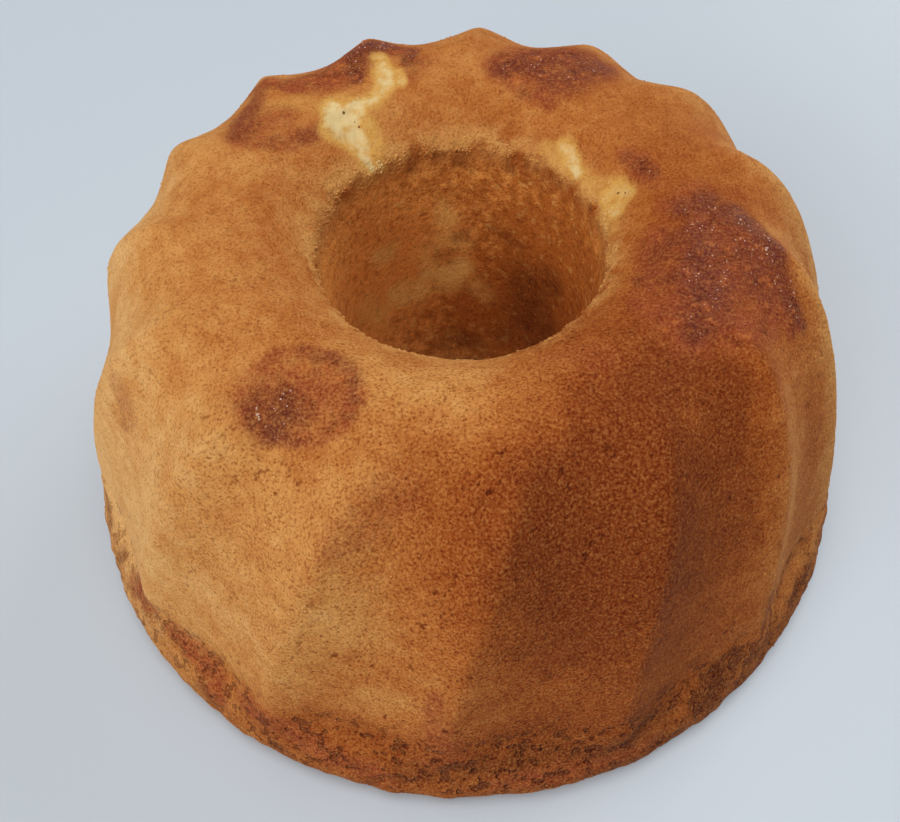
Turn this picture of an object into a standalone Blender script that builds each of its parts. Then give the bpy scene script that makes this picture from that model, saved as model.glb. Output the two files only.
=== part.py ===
"""Maple coconut ring cake, baked in a swirled ring tin with a tapered centre tube.

One solid, crust and crumb alike.  Metres, +Z up.  The origin is the middle of the flat underside, the axis of the
centre hole is Z, and the side with the torn pale streaks on the far shoulder is +Y.
"""

import math

import bmesh
import bpy
import numpy as np

# Overall size
BASE_RADIUS = 0.110
HEIGHT = 0.096
CREST_RADIUS = 0.055

# Wall between the base roll and the crest
WALL_RADIUS = 0.1034
WALL_START = 0.024
WALL_BULGE = 0.65
WALL_RISE = 1.88

# Base roll, from the flat underside up to the wall: inset from the base radius, and height
BASE_ROLL = [(0.0045, 0.0), (0.0012, 0.0012), (0.0, 0.0045), (0.0002, 0.0085), (0.0018, 0.0130), (0.0044, 0.0190)]

# Inner slope of the crest, the lip and the tapered hole
DIP = 26.6
DIP_END = 0.0366
LIP = [(0.0362, 0.0862), (0.0355, 0.0850), (0.0351, 0.0835)]
HOLE = [(0.0342, 0.0720), (0.0318, 0.0400), (0.0290, 0.0100), (0.0287, 0.0035), (0.0300, 0.0)]
UNDERSIDE_MIDDLE = 0.070

# Swirled flutes of the tin
FLUTES = 15
FLUTE_DEPTH = 0.0020
FLUTE_START = 0.13
FLUTE_FADE_IN = 0.08
FLUTE_FADE_OUT = 0.19
RIDGE_ROUNDING = 0.12
FIRST_RIDGE = -1.6355
TWIST_LINEAR = 0.5
TWIST_SQUARE = -4.9

# Mesh density
STEPS_PER_FLUTE = 10
WALL_RINGS = 22
TOP_RINGS = 6
LIP_RINGS = 3
HOLE_RINGS = 6

# Hollows where crumb stuck to the tin: azimuth in degrees, distance up the profile from the underside in
# metres, half width round the ring, half length along the profile, depth
HOLLOWS = [
    (131.0, 0.136, 0.0055, 0.0110, 0.0016),
    (115.0, 0.123, 0.0065, 0.0060, 0.0012),
    (17.0, 0.1390, 0.0055, 0.0045, 0.0012),
    (46.0, 0.1405, 0.0050, 0.0035, 0.0010),
]

# Slow unevenness of the baked crust
UNEVEN = 0.00035
BASE_LUMPS = 0.0005
SEED = 15


def smooth_step(x):
    x = np.clip(x, 0.0, 1.0)
    return x * x * (3.0 - 2.0 * x)


def ridge_wave(phase):
    """1 on a ridge and -1 in a valley, with crisp ridges and smooth valleys."""
    fall = np.sqrt(np.sin(phase / 2.0) ** 2 + RIDGE_ROUNDING ** 2) - RIDGE_ROUNDING
    return 1.0 - 2.0 * fall / (math.sqrt(1.0 + RIDGE_ROUNDING ** 2) - RIDGE_ROUNDING)


def relax(values, rounds=12):
    out = np.array(values)
    for _ in range(rounds):
        out[1:-1] = (out[:-2] + 2.0 * out[1:-1] + out[2:]) / 4.0
    return out


def profile():
    """Half section from the underside's outer edge, over the crest and down the hole."""
    t = np.linspace(0.0, math.pi / 2.0, 200)
    wall_r = CREST_RADIUS + (WALL_RADIUS - CREST_RADIUS) * np.maximum(np.cos(t), 0.0) ** WALL_BULGE
    wall_z = WALL_START + (HEIGHT - WALL_START) * np.sin(t) ** WALL_RISE
    dip_r = np.linspace(CREST_RADIUS, DIP_END, 30)[1:]
    dip_z = HEIGHT - DIP * (CREST_RADIUS - dip_r) ** 2
    wall = np.column_stack([wall_r, wall_z])
    dip = np.column_stack([dip_r, dip_z])
    roll = [(BASE_RADIUS - inset, level) for inset, level in BASE_ROLL]
    points = np.vstack([roll, wall, dip, LIP, HOLE])
    length = np.concatenate([[0.0], np.cumsum(np.hypot(*np.diff(points, axis=0).T))])
    crest = length[len(BASE_ROLL) + len(wall) - 1]
    rim = length[len(BASE_ROLL) + len(wall) + len(dip) - 1]
    lip_end = length[len(points) - len(HOLE) - 1]
    s = np.linspace(0.0, length[-1], 2000)
    r = relax(np.interp(s, length, points[:, 0]))
    z = relax(np.interp(s, length, points[:, 1]))
    return s, r, z, crest, rim, lip_end


def stations(crest, rim, lip_end, total):
    """Ring positions along the profile, closer together at the base roll and the lip."""
    roll = np.array([0.0, 0.0035, 0.007, 0.0115, 0.0165, 0.022])
    wall = np.linspace(0.022, crest, WALL_RINGS - len(roll) + 1)[1:]
    top = np.linspace(crest, rim, TOP_RINGS + 1)[1:]
    lip = np.linspace(rim, lip_end, LIP_RINGS + 1)[1:]
    hole = np.linspace(lip_end, total - 0.0035, HOLE_RINGS)[1:]
    return np.concatenate([roll, wall, top, lip, hole, [total]])


def slow_waves(rng, count, low, high):
    """Seeded waves round and along the cake: cycles round, cycles along, phase and share."""
    return [
        (int(rng.integers(low, high)), rng.uniform(10.0, 45.0), rng.uniform(0.0, 2.0 * math.pi), rng.uniform(0.4, 1.0))
        for _ in range(count)
    ]


def wave_sum(waves, azimuth, s):
    total = sum(share * np.cos(cycles * azimuth + along * s + phase) for cycles, along, phase, share in waves)
    return total / len(waves)


def relief(azimuth, s, crest, total):
    """Height of the crust above the turned shape: slow unevenness, base lumps and torn hollows."""
    rng = np.random.default_rng(SEED)
    even = UNEVEN * wave_sum(slow_waves(rng, 8, 2, 9), azimuth, s)
    lumps = BASE_LUMPS * wave_sum(slow_waves(rng, 8, 9, 40), azimuth, s)
    edge = smooth_step(s / 0.012) * smooth_step((total - s) / 0.012)
    height = even * edge + lumps * edge * smooth_step((0.034 - s) / 0.012)
    for degrees, along, half_width, half_length, depth in HOLLOWS:
        turn = np.angle(np.exp(1j * (azimuth - math.radians(degrees))))
        across = turn * 0.048 / half_width
        lengthwise = (s - along) / half_length
        height = height - depth * np.exp(-(across ** 2 + lengthwise ** 2))
    return height


def spun_profile(section):
    """Closed half section turned round the Z axis; a vertex layer keeps each point's place along the profile."""
    solid = bmesh.new()
    along = solid.verts.layers.float.new("along")
    corners = []
    for s, radius, height in section:
        corner = solid.verts.new((radius, 0.0, height))
        corner[along] = s
        corners.append(corner)
    for first, second in zip(corners, corners[1:] + corners[:1]):
        solid.edges.new((first, second))
    bmesh.ops.spin(
        solid,
        geom=solid.verts[:] + solid.edges[:],
        cent=(0.0, 0.0, 0.0),
        axis=(0.0, 0.0, 1.0),
        angle=2.0 * math.pi,
        steps=FLUTES * STEPS_PER_FLUTE,
        use_merge=True,
    )
    return solid, along


def swirl_flutes(solid, along, fine, r, z, crest):
    """Turn each ring by the swirl, then push it along the profile's normal by the flutes and the relief."""
    slope_r = np.gradient(r, fine)
    slope_z = np.gradient(z, fine)
    slope = np.hypot(slope_r, slope_z)
    places = np.array([[math.atan2(vert.co.y, vert.co.x), vert[along]] for vert in solid.verts])
    turn, s = places.T
    u = np.minimum(s / crest, 1.0)
    azimuth = FIRST_RIDGE + turn - (TWIST_LINEAR * u + TWIST_SQUARE * u * u) / FLUTES
    depth = FLUTE_DEPTH * smooth_step((u - FLUTE_START) / FLUTE_FADE_IN) * smooth_step((1.0 - u) / FLUTE_FADE_OUT)
    phase = FLUTES * turn
    wave = ridge_wave(phase)
    out = depth * wave + relief(azimuth, s, crest, fine[-1])
    radius = np.interp(s, fine, r) + np.interp(s, fine, slope_z / slope) * out
    height = np.maximum(np.interp(s, fine, z) - np.interp(s, fine, slope_r / slope) * out, 0.0)
    underside = s > fine[-1]
    radius[underside] = UNDERSIDE_MIDDLE
    height[underside] = 0.0
    for vert, a, b, c in zip(solid.verts, azimuth, radius, height):
        vert.co = (b * math.cos(a), b * math.sin(a), c)


def cake_mesh():
    fine, r, z, crest, rim, lip_end = profile()
    section = [(s, np.interp(s, fine, r), np.interp(s, fine, z)) for s in stations(crest, rim, lip_end, fine[-1])]
    section.append((fine[-1] + 0.01, UNDERSIDE_MIDDLE, 0.0))
    solid, along = spun_profile(section)
    swirl_flutes(solid, along, fine, r, z, crest)
    bmesh.ops.recalc_face_normals(solid, faces=solid.faces)
    bmesh.ops.triangulate(solid, faces=solid.faces, quad_method="SHORT_EDGE")
    mesh = bpy.data.meshes.new("cake")
    solid.to_mesh(mesh)
    solid.free()
    return mesh


def crust_material():
    material = bpy.data.materials.new("baked_crust")
    material.use_nodes = True
    shader = material.node_tree.nodes["Principled BSDF"]
    shader.inputs["Base Color"].default_value = (0.42, 0.17, 0.045, 1.0)
    shader.inputs["Roughness"].default_value = 0.72
    shader.inputs["Metallic"].default_value = 0.0
    return material


def main():
    for old in list(bpy.data.objects):
        bpy.data.objects.remove(old, do_unlink=True)
    mesh = cake_mesh()
    cake = bpy.data.objects.new("cake", mesh)
    bpy.context.scene.collection.objects.link(cake)
    mesh.materials.append(crust_material())
    mesh.shade_smooth()
    mesh.set_sharp_from_angle(angle=math.radians(50.0))


main()
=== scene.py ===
"""Maple coconut ring cake: fine crust surface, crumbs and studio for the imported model.

Metres, +Z up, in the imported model's frame.  A place on the crust is an azimuth and a distance s along the
half section, which runs from the underside's outer edge up the wall, over the crest and down the hole.
"""

import math

import bmesh
import bpy
import numpy as np
from mathutils import Matrix, Vector

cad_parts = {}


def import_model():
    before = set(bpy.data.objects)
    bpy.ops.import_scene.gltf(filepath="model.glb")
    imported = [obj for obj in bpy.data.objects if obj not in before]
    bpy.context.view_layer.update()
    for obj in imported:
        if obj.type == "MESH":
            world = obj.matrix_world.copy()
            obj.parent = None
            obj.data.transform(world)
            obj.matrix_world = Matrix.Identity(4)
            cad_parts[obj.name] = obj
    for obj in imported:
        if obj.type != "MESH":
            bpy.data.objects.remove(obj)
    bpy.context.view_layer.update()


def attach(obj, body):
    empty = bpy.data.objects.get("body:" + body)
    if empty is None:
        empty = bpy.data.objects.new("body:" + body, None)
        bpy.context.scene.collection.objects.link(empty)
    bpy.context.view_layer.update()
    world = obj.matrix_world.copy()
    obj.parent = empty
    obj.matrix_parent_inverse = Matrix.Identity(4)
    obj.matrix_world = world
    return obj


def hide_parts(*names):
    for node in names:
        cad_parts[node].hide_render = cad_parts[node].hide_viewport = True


# Turned shape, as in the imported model: overall size, wall, base roll, inner slope, lip and hole
BASE_RADIUS = 0.110
HEIGHT = 0.096
CREST_RADIUS = 0.055
WALL_RADIUS = 0.1034
WALL_START = 0.024
WALL_BULGE = 0.65
WALL_RISE = 1.88
BASE_ROLL = [
    (0.0045, 0.0), (0.0012, 0.0012), (0.0, 0.0045), (0.0002, 0.0085), (0.0018, 0.0130), (0.0044, 0.0190),
]
DIP = 26.6
DIP_END = 0.0366
LIP = [(0.0362, 0.0862), (0.0355, 0.0850), (0.0351, 0.0835)]
HOLE = [(0.0342, 0.0720), (0.0318, 0.0400), (0.0290, 0.0100), (0.0287, 0.0035), (0.0300, 0.0)]

# Swirled flutes
FLUTES = 15
FLUTE_DEPTH = 0.0020
FLUTE_START = 0.13
FLUTE_FADE_IN = 0.08
FLUTE_FADE_OUT = 0.19
RIDGE_ROUNDING = 0.12
FIRST_RIDGE = -1.6355
TWIST_LINEAR = 0.5
TWIST_SQUARE = -4.9

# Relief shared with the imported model.  Each hollow has an azimuth in degrees, a distance up the profile, a
# half width round the ring, a half length along the profile and a depth
HOLLOWS = [
    (131.0, 0.136, 0.0055, 0.0110, 0.0016),
    (115.0, 0.123, 0.0065, 0.0060, 0.0012),
    (17.0, 0.1390, 0.0055, 0.0045, 0.0012),
    (46.0, 0.1405, 0.0050, 0.0035, 0.0010),
]
UNEVEN = 0.00035
HOLLOW_RADIUS = 0.048
BASE_LUMPS = 0.0005
BASE_LUMPS_TOP = 0.034
RELIEF_FADE = 0.012
SEED = 15

# Mesh density
COLUMNS = 600
OUTER_ROWS = 132
HOLE_ROWS = 27
UNDER_ROWS = 4

# Seeded noise: size of its table of values, and what a sum of its layers is divided by
LATTICE = 32
LAYERED_SPREAD = 1.6

# Fine relief: depth and size of the lumps in metres, and seed
SOFT_LUMPS = (0.00016, 0.0070, 1)
CRUST_LUMPS = (0.00010, 0.0028, 5)
TORN_LUMPS = (0.00090, 0.0026, 9)
BASE_CRAGS = (0.00040, 0.0060, 13)
FINE_CRAGS = (0.00030, 0.0024, 17)
PIT_GRAINS = (0.00020, 0.0024, 19)
HOLE_LUMPS = (0.00035, 0.0036, 29)
RIM_LUMPS = (0.00080, 0.0026, 23)

# Reach of the rim's lumps, depth of the dark spots, and how the relief fades at the foot and in the hole
RIM_REACH = 0.0028
DARK_SINK = 0.0004
FOOT_FADE = 0.006
HOLE_END_FADE = 0.004

# Crumbs and beads: how many, and their least and greatest radius
RIM_CRUMBS = 900
DARK_SPECKS = 9
BASE_CRUMBS = 900
HOLE_CRUMBS = 500
CRUST_CRUMBS = 6500
RIM_CRUMB_SIZE = (0.00018, 0.00052)
SPECK_SIZE = (0.00034, 0.00056)
BASE_CRUMB_SIZE = (0.00016, 0.00042)
CRUST_CRUMB_SIZE = (0.00016, 0.00034)
CARAMEL_BEADS = 240
CORE_BEADS = 40
BEAD_SIZE = (0.00008, 0.00026)
CORE_BEAD_SIZE = (0.00012, 0.00042)

# Where they lie: distances up the profile, and for those on a layer also how strong it is there at least
RIM_INSET = 0.0012
RIM_SPREAD = 0.0011
SPECK_PLACES = (0.125, 0.145, 0.4)
BASE_PLACES = (0.003, 0.024)
WALL_PLACES_START = 0.020
HOLE_PLACES_TOP = 0.001
HOLE_PLACES_FOOT = 0.004
CARAMEL_PLACES = (0.095, 0.137, 0.6)
CORE_PLACES = (0.104, 0.121, 0.3)

# Random places tried for each one kept, over an area and on a layer
AREA_TRIES = 4
LAYER_TRIES = 60

# Shape of a crumb or bead: how far it is stretched, how uneven it is, and how much of its radius is sunk
LUMP_STRETCH = (0.65, 1.25)
LUMP_JITTER = 0.12
CRUMB_SINK = 0.35
BEAD_SINK = 0.2

# Camera: lens and sensor in millimetres, place and turns in metres and radians, and the height it looks at
LENS = 37.06
SENSOR = 36.0
NEAREST = 0.005
CAMERA_DISTANCE = 0.25456
CAMERA_ELEVATION = 0.89214
CAMERA_PAN = 0.0142
CAMERA_TILT = -0.08142
CAMERA_ROLL = 0.01409
AIM_HEIGHT = 0.05

# Studio: pale room light and wide soft lights, each with its azimuth and rise in degrees and its power
ROOM_COLOR = (0.97, 0.98, 1.0, 1.0)
ROOM_LIGHT = 0.14
LIGHT_WIDTH = 50.0
LIGHTS = [
    ("window", -135.0, 25.0, 1.62),
    ("back_window", 45.0, 25.0, 1.25),
    ("ceiling", 0.0, 90.0, 1.68),
]
FLOOR_COLOR = (0.54, 0.60, 0.66, 1.0)
FLOOR_ROUGHNESS = 0.5
FLOOR_REACH = 3.0
FLOOR_GAP = 0.0002

# How brown the crust is baked, and how much more in the hole
TOAST = 0.45
HOLE_TOAST = 0.12
HOLE_TOAST_FADE = 0.010
UNDERSIDE_TOAST = 0.6

# Baking zones, and in the hole painted light and shade: azimuth in degrees, distance up the profile in
# millimetres, reach in degrees and in millimetres, and how much browner (or paler, where negative) the crust
# is there
ZONES = [
    (-172.0, 48.0, 40.0, 36.0, -0.45),
    (-176.0, 96.0, 34.0, 9.0, -0.14),
    (-74.0, 80.0, 15.0, 30.0, 0.54),
    (-56.0, 88.0, 15.0, 26.0, 0.26),
    (-62.0, 36.0, 14.0, 12.0, 0.12),
    (-92.0, 20.0, 27.0, 10.0, 0.50),
    (-150.0, 18.0, 16.0, 9.0, -0.18),
    (-34.0, 116.0, 25.0, 16.0, 0.40),
    (-74.0, 97.0, 16.0, 12.0, 0.12),
    (-84.0, 127.0, 12.0, 8.0, -0.14),
    (-102.0, 76.0, 9.0, 11.0, -0.12),
    (-135.0, 80.0, 24.0, 14.0, -0.03),
    (-95.0, 130.0, 20.0, 9.0, -0.15),
    (2.0, 60.0, 22.0, 40.0, -0.18),
    (6.0, 122.0, 24.0, 11.0, 0.22),
    (70.0, 96.0, 70.0, 8.0, -0.12),
    # Painted light: the far left wall of the hole made paler where light falls on it
    (142.0, 178.0, 34.0, 18.0, -0.40),
    # Painted shade: the far right wall of the hole made browner low down, where shade falls
    (36.0, 192.0, 36.0, 24.0, 0.60),
    (60.0, 160.0, 80.0, 10.0, 0.20),
    # Painted shade: browner at the foot of the hole
    (60.0, 212.0, 50.0, 12.0, 0.25),
]

# Painted light and shade that follow the flutes on the wall, paler on the flanks turned to the light: azimuth
# and reach in degrees, how much, and the turn within a flute, in degrees past the ridge, where the crust is
# painted lightest
PAINTED_FLUTE_LIGHT_WALL = (0.026, 0.114)
PAINTED_FLUTE_LIGHT_FADE = 0.014
PAINTED_FLUTE_LIGHT = [
    (-18.0, 34.0, 0.16, 50.0),
    (-148.0, 34.0, 0.055, -65.0),
    (95.0, 50.0, 0.07, 40.0),
]

# Crust colours from pale golden to deep brown
CRUST_COLORS = [
    (0.74, 0.42, 0.155, 1.0),
    (0.60, 0.265, 0.070, 1.0),
    (0.45, 0.138, 0.027, 1.0),
    (0.32, 0.072, 0.010, 1.0),
    (0.21, 0.039, 0.005, 1.0),
]

# Colours of the hole, the marks and the crumbs
HOLE_COLOR = (0.96, 0.420, 0.100, 1.0)
HOLE_BROWN = (0.50, 0.155, 0.026, 1.0)
SKIRT_COLOR = (0.34, 0.098, 0.019, 1.0)
# Painted shade in the gaps of the rim
NOTCH_SHADE_COLOR = (0.26, 0.075, 0.016, 1.0)
EDGE_COLOR = (0.74, 0.40, 0.120, 1.0)
HALO_COLOR = (0.31, 0.064, 0.019, 1.0)
DARK_COLOR = (0.145, 0.033, 0.008, 1.0)
# Painted shade in the pits
PIT_SHADE_COLOR = (0.13, 0.024, 0.006, 1.0)
CARAMEL_COLOR = (0.17, 0.029, 0.011, 1.0)
CORE_COLOR = (0.135, 0.023, 0.009, 1.0)
PALE_COLOR = (0.98, 0.64, 0.190, 1.0)
BORDER_COLOR = (0.66, 0.36, 0.085, 1.0)
CRUMB_COLOR = (0.75, 0.58, 0.280, 1.0)
SPECK_COLOR = (0.20, 0.09, 0.025, 1.0)
# Pale colour of the beads: painted glints on the caramel
BEAD_GLINT_COLOR = (0.62, 0.36, 0.26, 1.0)
# Pale flecks on the grain, partly painted glints
PALE_FLECK_AND_GLINT = (0.96, 0.47, 0.13, 1.0)
GLOW_COLOR = (0.56, 0.155, 0.032, 1.0)

# Tints that the crust colour is multiplied by: scorching, also used for painted shadows in the hole, and dark
# grains and open pores, partly painted shade
SCORCH_AND_SHADE = (0.50, 0.36, 0.32, 1.0)
DARK_GRAIN_AND_SHADE = (0.50, 0.31, 0.16, 1.0)
OPEN_PORE_SHADE = (0.42, 0.26, 0.16, 1.0)

# Roughness and shine of the surfaces, and depth of the bump
CRUST_ROUGHNESS = 0.82
CRUST_SPECULAR = 0.10
CRUMB_ROUGHNESS = 0.8
CRUMB_SPECULAR = 0.08
BEAD_ROUGHNESS = 0.25
BUMP_DEPTH = 0.0006

# Noises of the crust colour: lumps per metre, layers of detail and how strong they are
GRAIN = (1650.0, 2.0, 0.65)
COARSE_GRAIN = (620.0, 1.0, 0.5)
RAGGED_FINE = (420.0, 3.0, 0.6)
RAGGED_WIDE = (150.0, 2.0, 0.5)
CLOUDS = (75.0, 4.0, 0.6)
MOTTLE = (260.0, 2.0, 0.5)
HOLE_MOTTLE = (330.0, 4.0, 0.75)
HOLE_SHADOWS = (430.0, 3.0, 0.6)
HOLE_PALE = (360.0, 3.0, 0.6)
PATCH_GLOW = (360.0, 3.0, 0.65)
PATCH_SCORCH = (300.0, 3.0, 0.65)
PIT_NOISE = (290.0, 2.0, 0.6)
PORE_CLUSTERS = (110.0, 2.0, 0.5)

# Noises that shape the marks: size of their lumps in metres, seed and, for the wobble of strokes, its layers
WOBBLE_NOISE = (0.0060, 61, 4)
SKIRT_NOISE = (0.014, 31)
BLOTCH_NOISE = (0.008, 37)
EDGE_NOISE = (0.004, 41)
NOTCH_NOISE = (0.0022, 43)
STRETCH_NOISE = (0.020, 47)

# Where such a noise starts to show a mark and where it shows it in full
BLOTCH_LEVELS = (0.16, 0.44)
EDGE_LEVELS = (-0.45, 0.15)
NOTCH_LEVELS = (0.05, 0.40)
STRETCH_LEVELS = (-0.50, 0.0)

# Base band: how high it reaches, how far its ragged top wanders, its blotches, and where it is pitted
SKIRT_TOP = 0.0270
SKIRT_WANDER = 0.010
SKIRT_FADE = 0.009
SKIRT_PITS = 0.8
BLOTCH_SHARE = 0.60
PITTED_BAND = (0.006, 0.036)
PITTED_FADES = (0.006, 0.010)
PITTED_REACH = 40.0
PITTED_LEAST = 0.35

# The front, in degrees, where the crust is coarsest, how far that reaches, and how coarse the rest is
FRONT = -82.0
COARSE_REACH = 42.0
COARSE_LEAST = 0.62

# Rim of the hole: its pale edge above the lip, painted shade in the gaps below it, and how the inside begins
EDGE_INSET = 0.003
EDGE_REACH = 0.0028
NOTCH_DROP = 0.0004
NOTCH_REACH = 0.0014
INNER_FADE = 0.006

# Layers that colour the crumbs
CRUMB_LAYERS = ("toast_and_shading", "torn", "specks", "edge", "inner", "halo", "caramel", "dark")

# How far the edge of a stroke wanders, less where it is narrower than the least width
STROKE_WOBBLE = 0.0011
WOBBLE_LEAST_WIDTH = 0.0025

# How softly the strokes of each layer fade out, as a share of their half width
SOFTNESS = {
    "torn": 0.80, "specks": 0.90, "halo": 0.55, "caramel": 0.70,
    "core": 0.95, "pits": 0.80, "dark": 0.75, "pale": 0.80,
}
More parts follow.
